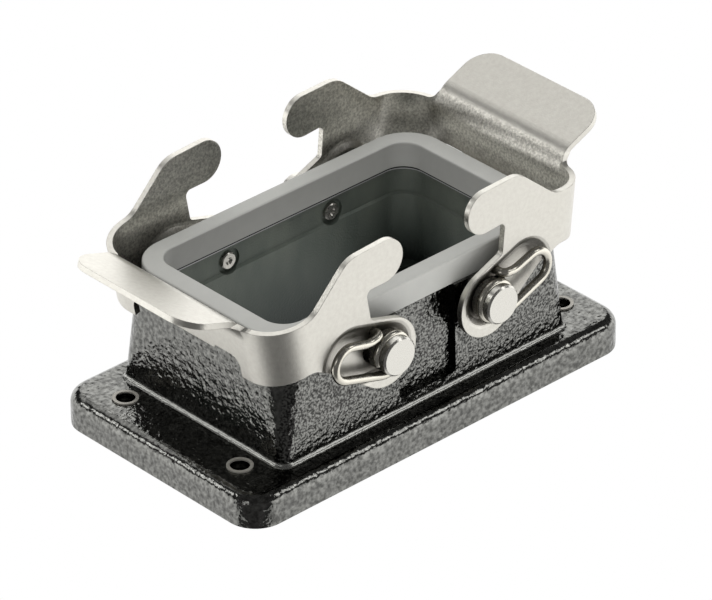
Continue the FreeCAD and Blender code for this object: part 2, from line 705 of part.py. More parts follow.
def make_lever():
    """One lever in its closed position about the pivot at the origin."""
    outline = Part.Face(arm_outline())
    outline.translate(V(0, -ARM_FACE - PAST, 0))
    side_block = outline.extrude(V(0, 2 * (ARM_FACE + PAST), 0))
    low = LOBE_CENTRE[1] - LOBE_RADIUS - PAST
    high = HOOK_CENTRE[1] + 2 * HOOK_RADIUS
    lever = bent_sheet(low, high).common(side_block)
    lever = lever.cut(above_tab_bend())
    root = tab_root()
    lever = lever.fuse([tab_solid(), root, mirror_y(root)]).removeSplitter()
    lever = lever.cut(arch_cut())
    for flip in (False, True):
        if flip:
            lever = mirror_y(lever)
        lever = press_dish(lever, side_block)
        lever = lever.cut(slot_block())
        hole_radius = WIRE_RADIUS + ANCHOR_HOLE_CLEARANCE
        lever = lever.cut(cylinder_y(hole_radius, -ARM_FACE - PAST, 2 * SHEET - ARM_FACE, *ANCHOR))
    return lever.removeSplitter()


def spring_path():
    """Centre line of the wire: anchor end, upper leg, loop, lower leg and the turn round the pin."""
    y = -WIRE_PLANE
    lower = math.radians(LOWER_LEG_ANGLE)
    upper = math.radians(UPPER_LEG_ANGLE)
    cu, cw = LOOP_CENTRE
    loop_in = (cu - LOOP_RADIUS * math.sin(upper), cw + LOOP_RADIUS * math.cos(upper))
    loop_out = (cu + LOOP_RADIUS * math.sin(lower), cw - LOOP_RADIUS * math.cos(lower))
    knee = (KNEE_U, loop_in[1] - (loop_in[0] - KNEE_U) * math.tan(upper))
    first = math.atan2(knee[1] - ANCHOR[1], knee[0] - ANCHOR[0])
    reach = KNEE_RADIUS * math.tan((upper - first) / 2)
    knee_in = (knee[0] - reach * math.cos(first), knee[1] - reach * math.sin(first))
    knee_out = (knee[0] + reach * math.cos(upper), knee[1] + reach * math.sin(upper))
    half = (first + upper) / 2
    knee_depth = KNEE_RADIUS * (1 / math.cos((upper - first) / 2) - 1)
    knee_mid = (knee[0] - knee_depth * math.sin(half), knee[1] + knee_depth * math.cos(half))

    # Lead-in: a wider arc between the lower leg and the turn round the pin
    d = (math.cos(lower), math.sin(lower))
    n = (-math.sin(lower), math.cos(lower))
    offset = -(loop_out[0] * n[0] + loop_out[1] * n[1])
    rise = LEAD_IN_RADIUS - offset
    run = math.sqrt((LEAD_IN_RADIUS - WRAP_RADIUS) ** 2 - rise ** 2)
    centre = (run * d[0] + rise * n[0], run * d[1] + rise * n[1])
    leg_end = (centre[0] - LEAD_IN_RADIUS * n[0], centre[1] - LEAD_IN_RADIUS * n[1])
    touch_angle = math.atan2(-centre[1], -centre[0])
    touch = (WRAP_RADIUS * math.cos(touch_angle), WRAP_RADIUS * math.sin(touch_angle))
    leg_angle = math.atan2(-n[1], -n[0])
    if touch_angle > leg_angle:
        touch_angle -= 2 * math.pi
    mid_angle = (leg_angle + touch_angle) / 2
    lead_mid = (
        centre[0] + LEAD_IN_RADIUS * math.cos(mid_angle),
        centre[1] + LEAD_IN_RADIUS * math.sin(mid_angle),
    )
    end_angle = math.radians(WRAP_END_ANGLE)
    while end_angle > touch_angle:
        end_angle -= 2 * math.pi
    wrap_mid_angle = (touch_angle + end_angle) / 2
    wrap_mid = (WRAP_RADIUS * math.cos(wrap_mid_angle), WRAP_RADIUS * math.sin(wrap_mid_angle))
    wrap_end = (WRAP_RADIUS * math.cos(end_angle), WRAP_RADIUS * math.sin(end_angle))

    def p(point):
        return V(point[0], y, point[1])
    turn_angle = (math.radians(90) + upper - (math.radians(-90) + lower)) / 2
    loop_far = math.radians(90) + upper - turn_angle
    loop_mid = (cu + LOOP_RADIUS * math.cos(loop_far), cw + LOOP_RADIUS * math.sin(loop_far))
    along = V(math.cos(first), 0, math.sin(first))
    start = p(ANCHOR)
    bend_top = start + along * ANCHOR_BEND
    bend_foot = start + V(0, ANCHOR_BEND, 0)
    k = 1 - math.sqrt(0.5)
    bend_mid = start + along * (ANCHOR_BEND * k) + V(0, ANCHOR_BEND * k, 0)
    foot = V(ANCHOR[0], -(ARM_FACE - DISH_DEPTH - SHEET), ANCHOR[1])
    return Part.Wire([
        Part.makeLine(foot, bend_foot),
        Part.Arc(bend_foot, bend_mid, bend_top).toShape(),
        Part.makeLine(bend_top, p(knee_in)),
        Part.Arc(p(knee_in), p(knee_mid), p(knee_out)).toShape(),
        Part.makeLine(p(knee_out), p(loop_in)),
        Part.Arc(p(loop_in), p(loop_mid), p(loop_out)).toShape(),
        Part.makeLine(p(loop_out), p(leg_end)),
        Part.Arc(p(leg_end), p(lead_mid), p(touch)).toShape(),
        Part.Arc(p(touch), p(wrap_mid), p(wrap_end)).toShape(),
    ])


def make_spring():
    """Hairpin spring of the front arm in the closed position."""
    path = spring_path()
    start = path.OrderedVertexes[0].Point
    section = Part.Wire(Part.makeCircle(WIRE_RADIUS, start, V(0, 1, 0)))
    return path.makePipeShell([section], True, False)


def place_right(shape, opening):
    """Turn a lever piece open by an angle about the pivot and move it to the right pivot axis."""
    placed = shape.copy()
    placed.rotate(V(0, 0, 0), V(0, 1, 0), opening)
    placed.translate(V(PIVOT_X, 0, PIVOT_Z))
    return placed


def place_left(shape, opening):
    """The same piece at the left pivot axis, mirrored."""
    return mirror_x(place_right(shape, opening))


def main():
    pieces = {
        "housing": make_housing(),
        "top_seal": make_top_seal(),
        "flange_gasket": make_flange_gasket(),
    }
    lever = make_lever()
    pin = make_pin()
    front_spring = make_spring()
    sides = {"right": (place_right, LEVER_OPEN_RIGHT), "left": (place_left, LEVER_OPEN_LEFT)}
    for side, (place, opening) in sides.items():
        pieces["lever_" + side] = place(lever, opening)
        for end, flip in (("front", False), ("back", True)):
            turned_pin = mirror_y(pin) if flip else pin
            wire = mirror_y(front_spring) if flip else front_spring
            pieces["pin_" + side + "_" + end] = place(turned_pin, 0)
            pieces["spring_" + side + "_" + end] = place(wire, opening)
    os.makedirs("parts", exist_ok=True)
    for name, shape in pieces.items():
        if shape.ShapeType == "Compound" and len(shape.Solids) == 1:
            shape = shape.Solids[0]
        shape.exportStep(os.path.join("parts", name + ".step"))
        print(name, shape.ShapeType, len(shape.Solids), shape.isValid(), round(shape.Volume, 1))


main()
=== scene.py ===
# %% [markdown]
# # A bulkhead housing with two locking levers
# The object is the lower half of a heavy duty plug and socket: a black hammertone casting with a
# rectangular opening, a grey rubber seal on its rim, and two bent steel levers that hook over the mating
# half. The solids come from the CAD model, so this lesson is about light and finishes: hammertone enamel,
# bare casting, rubber, tumbled sheet, turned pins and drawn wire. Everything is in metres, in the frame
# of the CAD model.

# %% Load the model
import bpy
import math
from mathutils import Matrix, Vector

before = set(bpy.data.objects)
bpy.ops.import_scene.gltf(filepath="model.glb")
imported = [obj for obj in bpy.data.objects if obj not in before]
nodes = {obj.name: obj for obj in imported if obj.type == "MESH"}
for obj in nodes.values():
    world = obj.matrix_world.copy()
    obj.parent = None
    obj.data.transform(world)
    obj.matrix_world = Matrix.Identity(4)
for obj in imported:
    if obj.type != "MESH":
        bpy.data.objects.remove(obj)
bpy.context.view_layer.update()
MM = 0.001
print("CAD nodes:", sorted(nodes))

# %% [markdown]
# ## The camera
# A catalogue picture like this one is taken from far away with a long lens, so that parallel edges stay
# nearly parallel. The camera could be moved by eye until the edges fit. Here it is placed by its
# direction, a small roll, and where the origin falls in the picture, because each of these can be
# measured on its own.

# %% Camera
VIEW_AZIMUTH = math.radians(-42.83)
VIEW_ELEVATION = math.radians(31.52)
VIEW_ROLL = math.radians(-0.33)
PICTURE_WIDTH = 712
SENSOR = 36.0
PIXELS_PER_METRE = 5250.0
FOCAL_PIXELS = 6000.0
ORIGIN_RIGHT = -10.05
ORIGIN_DOWN = 80.5
NEAREST_SEEN = 0.05
FARTHEST_SEEN = 20.0


def camera_axes():
    """Right, up and back vectors of the camera."""
    level = math.cos(VIEW_ELEVATION)
    away = (math.sin(VIEW_AZIMUTH) * level, -math.cos(VIEW_AZIMUTH) * level, math.sin(VIEW_ELEVATION))
    back = Vector(away)
    flat_right = (-back).cross(Vector((0, 0, 1))).normalized()
    flat_up = flat_right.cross(-back)
    c = math.cos(VIEW_ROLL)
    s = math.sin(VIEW_ROLL)
    right = flat_right * c + flat_up * s
    up = flat_up * c - flat_right * s
    return right, up, back


right, up, back = camera_axes()
lens = bpy.data.cameras.new("camera")
lens.sensor_width = SENSOR
lens.lens = FOCAL_PIXELS / PICTURE_WIDTH * SENSOR
lens.clip_start = NEAREST_SEEN
lens.clip_end = FARTHEST_SEEN
camera = bpy.data.objects.new("camera", lens)
bpy.context.scene.collection.objects.link(camera)
place = (back * FOCAL_PIXELS - right * ORIGIN_RIGHT + up * ORIGIN_DOWN) / PIXELS_PER_METRE
turn = Matrix((right, up, back)).transposed().to_4x4()
camera.matrix_world = Matrix.Translation(place) @ turn
bpy.context.scene.camera = camera
bpy.context.scene.view_settings.view_transform = "Standard"
print("camera distance", round(place.length, 3), "m, lens", round(lens.lens, 1), "mm")

# %% [markdown]
# ## A kit for node graphs
# The world and the finishes are graphs of nodes. By hand each node is added and wired with the mouse. In
# a script that takes many lines, so this kit puts each common step into one call. A share is a number
# from 0 to 1 that says how far something holds at a point, and two shares are multiplied where both have
# to hold.

# %% Node graph kit
class Graph:
    """A node tree with the calls that the world and every finish need."""

    def __init__(self, tree):
        self.tree = tree

    def put(self, socket, value):
        """Set one input to a value, or link an output to it."""
        if isinstance(value, bpy.types.NodeSocket):
            self.tree.links.new(value, socket)
        else:
            socket.default_value = value

    def node(self, kind, **inputs):
        """New node with the named inputs set, each to a value or to another node's output."""
        made = self.tree.nodes.new("ShaderNode" + kind)
        for name, value in inputs.items():
            self.put(made.inputs[name.replace("_", " ")], value)
        return made

    def math(self, operation, a, b=0.0):
        """One step of arithmetic."""
        made = self.node("Math")
        made.operation = operation
        self.put(made.inputs[0], a)
        self.put(made.inputs[1], b)
        return made.outputs[0]

    def times(self, a, b):
        """Product of two values, or the share where two shares both hold."""
        return self.math("MULTIPLY", a, b)

    def above(self, value, level):
        """1 where a value is above a level."""
        return self.math("GREATER_THAN", value, level)

    def below(self, value, level):
        """1 where a value is below a level."""
        return self.math("LESS_THAN", value, level)

    def between(self, value, low, high):
        """1 between two levels, 0 outside them."""
        return self.times(self.above(value, low), self.below(value, high))

    def measure(self, operation, *vectors):
        """Number that comes from one or two vectors, such as a length or a dot product."""
        made = self.node("VectorMath")
        made.operation = operation
        for socket, vector in zip(made.inputs, vectors):
            self.put(socket, vector)
        return made.outputs["Value"]

    def ramp(self, value, low, high, to_low=0.0, to_high=1.0, shape="LINEAR"):
        """Carry a value from one range to another, and hold it at the ends."""
        made = self.node("MapRange", Value=value)
        made.interpolation_type = shape
        made.inputs["From Min"].default_value = low
        made.inputs["From Max"].default_value = high
        made.inputs["To Min"].default_value = to_low
        made.inputs["To Max"].default_value = to_high
        return made.outputs["Result"]

    def fade(self, value, low, high, to_low=0.0, to_high=1.0):
        """The same with soft ends."""
        return self.ramp(value, low, high, to_low, to_high, "SMOOTHSTEP")


print("graph kit:", [name for name in vars(Graph) if not name.startswith("_")])

# %% [markdown]
# ## Painting the world by direction
# The picture has a white ground with almost no shadow, yet the enamel works like a black mirror. It shows
# a white table, the dark room beyond the table's front edge and above the wall, and soft boxes as bright
# patches. Real boxes and walls round the object would do this too, but they would stand in the way in
# other views. So the room is painted on the world, which knows only directions: a height, or an angle
# from some direction.

# %% Sky kit
class Sky(Graph):
    """The world's node graph, with the calls that painting by direction needs."""

    def __init__(self, world):
        world.use_nodes = True
        super().__init__(world.node_tree)
        self.background = self.tree.nodes["Background"]
        self.direction = self.node("TexCoord").outputs["Generated"]
        self.height = self.node("SeparateXYZ", Vector=self.direction).outputs["Z"]

    def pick(self, share, a, b):
        """The first value where the share is 0, the second where it is 1."""
        made = self.node("Mix")
        made.data_type = "FLOAT"
        self.put(made.inputs[0], share)
        self.put(made.inputs[2], a)
        self.put(made.inputs[3], b)
        return made.outputs[0]

    def toward(self, direction):
        """Cosine of the angle between a ray and a direction."""
        return self.measure("DOT_PRODUCT", self.direction, Vector(direction).normalized())

    def soft_box(self, direction, core, edge, level):
        """Round bright patch, even in its core and faded out at its edge, both in degrees."""
        edge_cosine = math.cos(math.radians(edge))
        core_cosine = math.cos(math.radians(core))
        return self.fade(self.toward(direction), edge_cosine, core_cosine, 0.0, level)


world = bpy.data.worlds.new("studio")
bpy.context.scene.world = world
sky = Sky(world)
print("world:", world.name)

# %% [markdown]
# ## The room that gloss sees
# Each part of the room is there for a face that mirrors it. Upright faces mirror the table, which is
# brighter far away, and the tips of the enamel's waves catch that change. Faces near the front corner
# mirror the dark beyond the table. The five soft boxes give level faces, two fillets, one tab and the
# rims their light.

# %% Room in the reflections
ROOM_LIGHT = 0.06
TABLE_BELOW = 0.55
TABLE_FAR = 1.40
TABLE_HEIGHTS = (-0.95, 0.05)
WALL_TOP = 0.16
WALL_FADE = 0.34
TABLE_FRONT = (-0.732, -0.681, 0.0)
FRONT_EDGE = (0.42, 0.58)
BEYOND_TABLE = 0.03
LEVEL_FACES_BOX = ((0.58, 0.625, 0.523), 12, 20, 1.35)
END_FILLET_BOX = ((-0.54, 0.625, 0.56), 5, 10, 2.5)
RIGHT_TAB_BOX = ((0.1, 0.55, 0.83), 8, 24, 0.86)
LEFT_RIMS_BOX = ((-0.92, -0.2, 0.35), 5, 12, 1.2)
FRONT_FILLET_BOX = ((0.58, -0.52, 0.62), 5, 11, 2.2)


def mirrored_room():
    """Brightness of the table and the wall, dark beyond the table's front edge, with the soft boxes."""
    table = sky.ramp(sky.height, *TABLE_HEIGHTS, TABLE_BELOW, TABLE_FAR)
    under_wall_top = sky.fade(sky.height, WALL_TOP, WALL_FADE, 1.0, 0.0)
    behind_front = sky.fade(sky.toward(TABLE_FRONT), *FRONT_EDGE, 1.0, BEYOND_TABLE)
    room = sky.times(table, sky.times(under_wall_top, behind_front))
    room = sky.math("ADD", room, ROOM_LIGHT)
    for box in (LEVEL_FACES_BOX, END_FILLET_BOX, RIGHT_TAB_BOX, LEFT_RIMS_BOX, FRONT_FILLET_BOX):
        room = sky.math("ADD", room, sky.soft_box(*box))
    return room


gloss_sees = mirrored_room()
print("table in reflections", TABLE_BELOW, "to", TABLE_FAR, "and the room", ROOM_LIGHT)

# %% [markdown]
# ## Three answers to a ray
# The Light Path node tells what sent a ray. The camera sees plain white, gloss sees the painted room, and
# diffuse light gets a plain dome, stronger from above. A reflection seen in another reflection is dimmed,
# because black enamel swallows most of it.

# %% World
LIGHT_FROM_SIDES = 0.28
LIGHT_FROM_ABOVE = 1.6
HEIGHT_OF_FULL_LIGHT = 0.9
TWICE_MIRRORED = 0.2
SECOND_MIRROR = (1.4, 1.6)


def grey(level):
    """Neutral colour of one level."""
    return (level, level, level, 1)


path = sky.node("LightPath")
dimmed = sky.fade(path.outputs["Glossy Depth"], *SECOND_MIRROR, 1.0, TWICE_MIRRORED)
plain = sky.fade(sky.height, 0.0, HEIGHT_OF_FULL_LIGHT, LIGHT_FROM_SIDES, LIGHT_FROM_ABOVE)
light = sky.pick(path.outputs["Is Glossy Ray"], plain, sky.times(gloss_sees, dimmed))
sky.put(sky.background.inputs["Strength"], sky.pick(path.outputs["Is Camera Ray"], light, 1.0))
sky.background.inputs["Color"].default_value = grey(1.0)
print("diffuse light", LIGHT_FROM_SIDES, "from the sides and", LIGHT_FROM_ABOVE, "from above")

# %% [markdown]
# ## One lamp overhead
# A dome alone makes bent sheet look flat. One large square lamp above adds soft shadows under the levers
# and in the opening. It is kept out of reflections, since the painted soft boxes are there already.

# %% Lamp
LAMP_FROM = Vector((0.1, -0.1, 1.0)).normalized()
LAMP_DISTANCE = 1.2
LAMP_SIZE = 0.5
LAMP_POWER = 3.0

glow = bpy.data.lights.new("top_lamp", "AREA")
glow.size = LAMP_SIZE
glow.energy = LAMP_POWER
top_lamp = bpy.data.objects.new("top_lamp", glow)
top_lamp.location = LAMP_FROM * LAMP_DISTANCE
top_lamp.rotation_mode = "QUATERNION"
top_lamp.rotation_quaternion = LAMP_FROM.to_track_quat("Z", "Y")
top_lamp.visible_glossy = False
bpy.context.scene.collection.objects.link(top_lamp)
print("lamp of", glow.energy, "W at", LAMP_DISTANCE, "m")

# %% [markdown]
# ## A kit for finishes
# Every finish is one main shader, fed by a few textures that read the piece's own coordinates, so that
# the grain stays on the piece when it moves. Pictures could do this as well, but a CAD mesh has no flat
# map to lay them on, and noise needs none.

# %% Finish kit
MOST_OF_NOISE = (0.3, 0.7)


class Finish(Graph):
    """A material under construction, with the calls that every finish needs."""

    def __init__(self, name):
        self.material = bpy.data.materials.new(name)
        self.material.use_nodes = True
        super().__init__(self.material.node_tree)
        self.shader = self.tree.nodes["Principled BSDF"]
        coordinates = self.node("TexCoord")
        self.place = coordinates.outputs["Object"]
        self.facing = coordinates.outputs["Normal"]

    def set(self, **inputs):
        """Set inputs of the main shader."""
        for name, value in inputs.items():
            self.put(self.shader.inputs[name.replace("_", " ")], value)

    def stretched(self, x, y, z):
        """The piece's coordinates multiplied along each axis, for patterns with a direction."""
        mapping = self.node("Mapping", Vector=self.place)
        mapping.inputs["Scale"].default_value = (x, y, z)
        return mapping.outputs[0]

    def noise(self, per_metre, detail, vector=None, roughness=0.5):
        """Cloudy value, mostly within the range named above."""
        made = self.node("TexNoise", Scale=per_metre, Detail=detail, Roughness=roughness,
                         Vector=vector or self.place)
        return made.outputs["Fac"]

    def distances(self):
        """Distance from the middle along X and along Y, and the height."""
        x, y, z = self.node("SeparateXYZ", Vector=self.place).outputs
        return self.math("ABSOLUTE", x), self.math("ABSOLUTE", y), z

    def inner_faces(self, fade):
        """1 on faces turned toward the object's middle, 0 on those turned away, blended over a length."""
        return self.ramp(self.measure("DOT_PRODUCT", self.place, self.facing), -fade, fade, 1.0, 0.0)

    def blend(self, share, a, b):
        """The first colour where the share is 0, the second where it is 1."""
        made = self.node("Mix")
        made.data_type = "RGBA"
        self.put(made.inputs[0], share)
        self.put(made.inputs[6], a)
        self.put(made.inputs[7], b)
        return made.outputs[2]

    def bump(self, height, depth, strength=1.0, **normal):
        """Surface normal from a height. The depth is in metres."""
        return self.node("Bump", Height=height, Distance=depth, Strength=strength, **normal).outputs[0]


print("finish kit:", [name for name in vars(Finish) if not name.startswith("_")])

# %% [markdown]
# ## Floor
# The object stands on a pale table top. A real sheet of paper would show as light grey with a shadow,
# while the picture's ground is pure white. So the camera, and a ray that passes through something clear,
# see plain white, and all other rays see pale paint that also glows a little, which lights the object
# softly from below.

# %% Floor
FLOOR_GLOW = 1.6
FLOOR_GREY = 0.92
FLOOR_ROUGHNESS = 0.9
FLOOR_SIZE = 6.0
FLOOR_DROP = 0.05 * MM


def table_paint():
    """Pale glowing paint that the camera sees as white."""
    paint = Finish("floor_paint")
    paint.set(Base_Color=grey(FLOOR_GREY), Roughness=FLOOR_ROUGHNESS)
    paint.set(Emission_Color=grey(1.0), Emission_Strength=FLOOR_GLOW)
    white = paint.node("Emission").outputs[0]
    ray = paint.node("LightPath")
    seen = paint.shader.outputs[0]
    for kind in ("Is Transmission Ray", "Is Camera Ray"):
        mix = paint.node("MixShader", Fac=ray.outputs[kind])
        paint.put(mix.inputs[1], seen)
        paint.put(mix.inputs[2], white)
        seen = mix.outputs[0]
    paint.put(paint.tree.nodes["Material Output"].inputs["Surface"], seen)
    return paint.material


bpy.ops.object.select_all(action="DESELECT")
bpy.ops.mesh.primitive_plane_add(size=FLOOR_SIZE, location=(0, 0, -FLOOR_DROP))
floor = bpy.context.object
floor.name = "floor"
floor.data.materials.append(table_paint())
floor.visible_glossy = False
print("floor of", FLOOR_SIZE, "m, glow", FLOOR_GLOW)

# %% [markdown]
# ## Where the enamel stops
# The casting is masked when it is sprayed, so the opening keeps its dull grey metal, and the rims of the
# screw holes are bare too. Cutting the mesh into painted and bare faces would follow its triangles. A
# test of where a point lies gives a clean line instead, and the casting stays one piece.

# %% Masks on the casting
CAVITY_HALF_LENGTH = 33.1 * MM
CAVITY_HALF_WIDTH = 18.7 * MM
SCREW_X = 41.5 * MM
SCREW_Y = 16.0 * MM
SCREW_RIM_RADIUS = 2.6 * MM
JUST_ABOVE_FLANGE = 6.75 * MM


def in_cavity(finish, x, y):
    """1 in the opening. Both x and y are distances from the middle."""
    return finish.times(finish.below(x, CAVITY_HALF_LENGTH), finish.below(y, CAVITY_HALF_WIDTH))


def on_screw_rim(finish, x, y, z):
    """1 on the raised rims. With distances from the middle, one place stands for all four screws."""
    along = finish.math("SUBTRACT", x, SCREW_X)
    across = finish.math("SUBTRACT", y, SCREW_Y)
    aside = finish.node("CombineXYZ", X=along, Y=across).outputs[0]
    near = finish.below(finish.measure("LENGTH", aside), SCREW_RIM_RADIUS)
    return finish.times(near, finish.above(z, JUST_ABOVE_FLANGE))


print("bare opening", 2 * CAVITY_HALF_LENGTH / MM, "x", 2 * CAVITY_HALF_WIDTH / MM, "mm")

# %% [markdown]
# ## How much the enamel mirrors
# Hammertone enamel holds fine metal flakes, so it mirrors unevenly. It is made here as a dark metal,
# because the base colour of a metal is just how much it mirrors. Soft mottle covers the casting and a
# harsher spatter the long sides. The fillet at the body's foot, where the enamel pooled smooth, is made
# to mirror most, which paints a highlight line along it.

# %% Enamel levels
MOTTLE_PER_METRE = 1150.0
MOTTLE_SPAN = (0.35, 0.65)
MOTTLE_LEVELS = (0.11, 0.28)
SPATTER_PER_METRE = 2300.0
SPATTER_SPAN = (0.40, 0.60)
SPATTER_LEVELS = (0.05, 0.29)
LONG_SIDE = 20.8 * MM
FOOT_OF_SIDES = 8.0 * MM
POOLED_HIGHLIGHT_LEVEL = 0.42
ENAMEL_TINT = (1.0, 1.0, 0.94, 1)


def enamel_level(finish, y, z, pooled_and_highlight):
    """Colour of the mirror image in the enamel, with a painted highlight line on the pooled fillet."""
    mottle = finish.ramp(finish.noise(MOTTLE_PER_METRE, detail=3.0), *MOTTLE_SPAN, *MOTTLE_LEVELS)
    spatter = finish.ramp(finish.noise(SPATTER_PER_METRE, detail=2.0), *SPATTER_SPAN, *SPATTER_LEVELS)
    sides = finish.times(finish.above(y, LONG_SIDE), finish.above(z, FOOT_OF_SIDES))
    # The pooled fillet mirrors most, which paints a highlight line along the body's foot.
    level = finish.blend(pooled_and_highlight, finish.blend(sides, mottle, spatter), grey(POOLED_HIGHLIGHT_LEVEL))
    return finish.blend(level, grey(0.0), ENAMEL_TINT)


print("enamel mirrors", MOTTLE_LEVELS, "and", SPATTER_LEVELS, "on the long sides")

# %% [markdown]
# ## The enamel's relief
# The paint dries into shallow waves of about a millimetre with finer grain on top, and their slopes
# mirror the table or the dark. Modelling them would take millions of faces, so a bump bends the shading
# instead. The waves are lower where the enamel pooled and where it drew thin over the flange's rounded
# edge.

# %% Enamel relief
WAVES_PER_METRE = 800.0
GRAIN_PER_METRE = 2100.0
GRAIN_SHARE = 0.22
POOLED_WAVES = 0.4
FLANGE_EDGE_FOOT = (3.9 * MM, 5.2 * MM)
FLANGE_EDGE_TOP = 6.67 * MM
FLANGE_EDGE_WAVES = 0.5


def enamel_relief(finish, z, pooled_and_highlight):
    """Height of the enamel's skin, as a share of the bump's depth."""
    swell = finish.noise(WAVES_PER_METRE, detail=1.5)
    grain = finish.noise(GRAIN_PER_METRE, detail=1.0)
    waves = finish.math("ADD", swell, finish.times(grain, GRAIN_SHARE))
    on_edge = finish.times(finish.ramp(z, *FLANGE_EDGE_FOOT), finish.below(z, FLANGE_EDGE_TOP))
    where_pooled = finish.ramp(pooled_and_highlight, 0, 1, 1.0, POOLED_WAVES)
    where_thin = finish.ramp(on_edge, 0, 1, 1.0, FLANGE_EDGE_WAVES)
    return finish.times(waves, finish.times(where_pooled, where_thin))


print("waves of about", round(1000 / WAVES_PER_METRE, 2), "mm")

# %% [markdown]
# ## Bare casting
# Bare die-cast metal is dull and cloudy, and less light reaches it low in the opening. Its colour is a
# cloud between two grey-greens, with shade painted in toward the foot. Right under the seal the thin gap
# lies in shadow, with a bright edge below it, both too fine to model, so they are painted as a dark line
# of shade and a bright line of highlight at their heights.

# %% Bare casting
CAST_CLOUD_PER_METRE = 160.0
CAST_CLOUD_STRETCH = (1.0, 1.0, 0.4)
CAST_PAINTED_SHADE_HEIGHTS = (4.0 * MM, 26.0 * MM)
CAST_DARK = (0.046, 0.060, 0.052, 1)
CAST_PALE = (0.175, 0.188, 0.158, 1)
FOOT_PAINTED_SHADE = 0.8
FOOT_PAINTED_SHADE_HEIGHT = 22.0 * MM
SEAL_GLINT = (27.20 * MM, 27.42 * MM)
SEAL_GLINT_LEVEL = 0.42
SEAL_SHADOW = (27.42 * MM, 27.68 * MM)
SEAL_SHADOW_LEVEL = 0.01


def bare_colour(finish, z):
    """Dull cast metal, with painted shade low in the opening, and under the seal a painted thin shadow
    with a painted highlight below it.
    """
    upright = finish.stretched(*CAST_CLOUD_STRETCH)
    cloud = finish.noise(CAST_CLOUD_PER_METRE, detail=3.0, vector=upright)
    # Painted shade: low in the opening the cloud is pulled to its dark end.
    cloud = finish.times(cloud, finish.ramp(z, *CAST_PAINTED_SHADE_HEIGHTS))
    colour = finish.blend(cloud, CAST_DARK, CAST_PALE)
    # Painted shade: darker still toward the foot.
    colour = finish.blend(finish.ramp(z, 0.0, FOOT_PAINTED_SHADE_HEIGHT, FOOT_PAINTED_SHADE, 0.0), colour, grey(0.0))
    # Painted highlight and painted shadow: two thin lines under the seal.
    colour = finish.blend(finish.between(z, *SEAL_GLINT), colour, grey(SEAL_GLINT_LEVEL))
    return finish.blend(finish.between(z, *SEAL_SHADOW), colour, grey(SEAL_SHADOW_LEVEL))


print("bare casting from", CAST_DARK[:3], "to", CAST_PALE[:3])

# %% [markdown]
# ## The whole casting
# The parts of the finish now come together on one shader. The enamel is smooth and fully mirroring, the
# bare metal rougher and only half metal, because cast skin is full of oxide. A fine grain roughens the
# opening.

# %% Casting
# Heights of the pooled fillet, which is smoother and also carries the painted highlight.
POOLED_AND_HIGHLIGHT_BAND = (6.75 * MM, 7.7 * MM)
POOLED_ROUGHNESS = 0.27
ENAMEL_ROUGHNESS = 0.10
BARE_ROUGHNESS = 0.42
BARE_METALLIC = 0.55
SCREW_RIM_COLOUR = (0.40, 0.385, 0.345, 1)
CAST_GRAIN_PER_METRE = 2600.0
CAST_GRAIN_SHARE = 0.25
RELIEF_DEPTH = 0.28 * MM


def hammertone():
    """Black glossy enamel outside, bare metal in the opening and on the screw rims."""
    finish = Finish("hammertone_enamel")
    x, y, z = finish.distances()
    inside = in_cavity(finish, x, y)
    on_rim = on_screw_rim(finish, x, y, z)
    bare = finish.math("MAXIMUM", inside, on_rim)
    pooled_and_highlight = finish.between(z, *POOLED_AND_HIGHLIGHT_BAND)
    painted = finish.blend(on_rim, enamel_level(finish, y, z, pooled_and_highlight), SCREW_RIM_COLOUR)
    roughness = finish.ramp(bare, 0, 1, ENAMEL_ROUGHNESS, BARE_ROUGHNESS)
    pool_roughness = finish.ramp(pooled_and_highlight, 0, 1, 0.0, POOLED_ROUGHNESS)
    skin = finish.times(enamel_relief(finish, z, pooled_and_highlight), finish.math("SUBTRACT", 1.0, bare))
    cast_grain = finish.noise(CAST_GRAIN_PER_METRE, detail=5.0)
    cast_grain = finish.times(cast_grain, finish.times(inside, CAST_GRAIN_SHARE))
    finish.set(Base_Color=finish.blend(inside, painted, bare_colour(finish, z)))
    finish.set(Metallic=finish.ramp(bare, 0, 1, 1.0, BARE_METALLIC))
    finish.set(Roughness=finish.math("MAXIMUM", roughness, pool_roughness))
    finish.set(Normal=finish.bump(finish.math("ADD", skin, cast_grain), RELIEF_DEPTH))
    return finish


def dress(node, finish):
    """Give a CAD node its material."""
    solid = nodes[node]
    solid.data.materials.clear()
    solid.data.materials.append(finish.material)
    print(node, "wears", finish.material.name)


dress("housing", hammertone())

# %% [markdown]
# ## Rubber
# The seal is a light grey moulded rubber with a fine matt skin. A faint cloud of tone and very shallow
# bumps are enough, because rubber shows no grain at this distance. Its inner walls get less light than
# its top and outside, so painted shade, a share of black, goes on faces turned toward the middle. The
# hidden gasket below the flange is the same rubber in black.

# %% Rubber
RUBBER_CLOUD_PER_METRE = 350.0
RUBBER_SKIN_PER_METRE = 5200.0
RUBBER_SKIN_DEPTH = 0.02 * MM
RUBBER_SKIN_STRENGTH = 0.6
RUBBER_YELLOWING = 0.94
ROUGHNESS_SPREAD = 0.06
INNER_WALL_PAINTED_SHADE = 0.22
INNER_WALL_BLEND = 2.0 * MM


